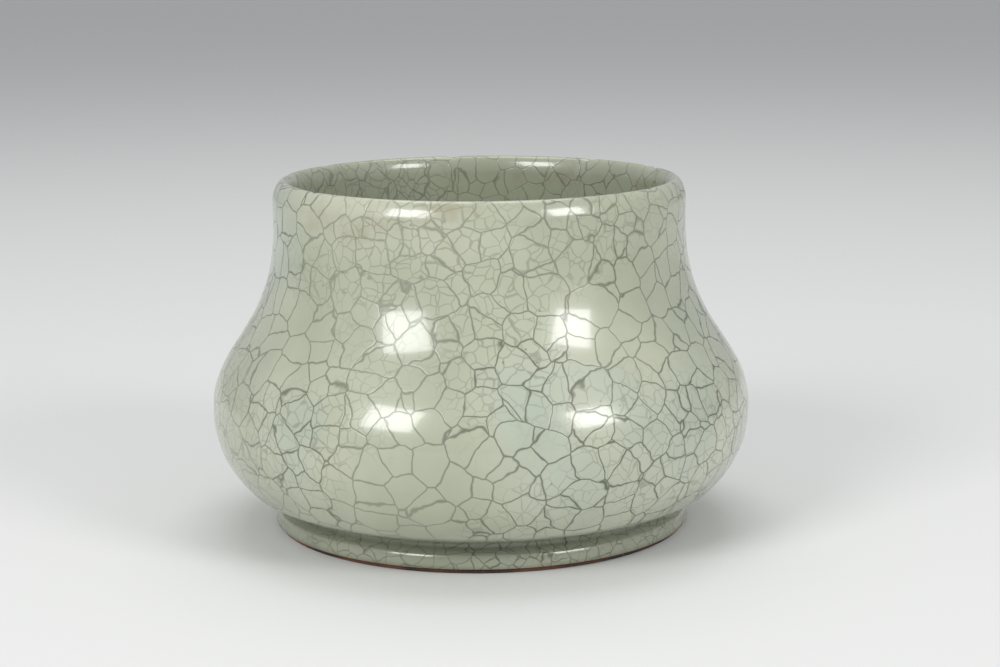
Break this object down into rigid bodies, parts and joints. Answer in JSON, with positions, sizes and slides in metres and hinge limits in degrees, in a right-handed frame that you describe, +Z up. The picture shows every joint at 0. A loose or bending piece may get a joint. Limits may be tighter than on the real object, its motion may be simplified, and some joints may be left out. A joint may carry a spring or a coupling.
{
  "type": "waste bowl",
  "caption": "Round-bellied ceramic waste bowl with a wide neck, a rolled lip, a turned foot ring and a crackled celadon glaze.",
  "frame": {"origin": "centre of the plane that the foot ring stands on", "axes": "+Z up along the axis that the bowl is turned about"},
  "size_m": [0.13, 0.13, 0.0838],
  "materials": {
    "clay": "matte",
    "foot_clay": "matte",
    "celadon_glaze": "gloss"
  },
  "bodies": {
    "root": {"clay_body": "clay", "foot_ring": "foot_clay", "outer_glaze": "celadon_glaze", "inner_glaze": "celadon_glaze", "base_glaze": "celadon_glaze"}
  },
  "joints": []
}
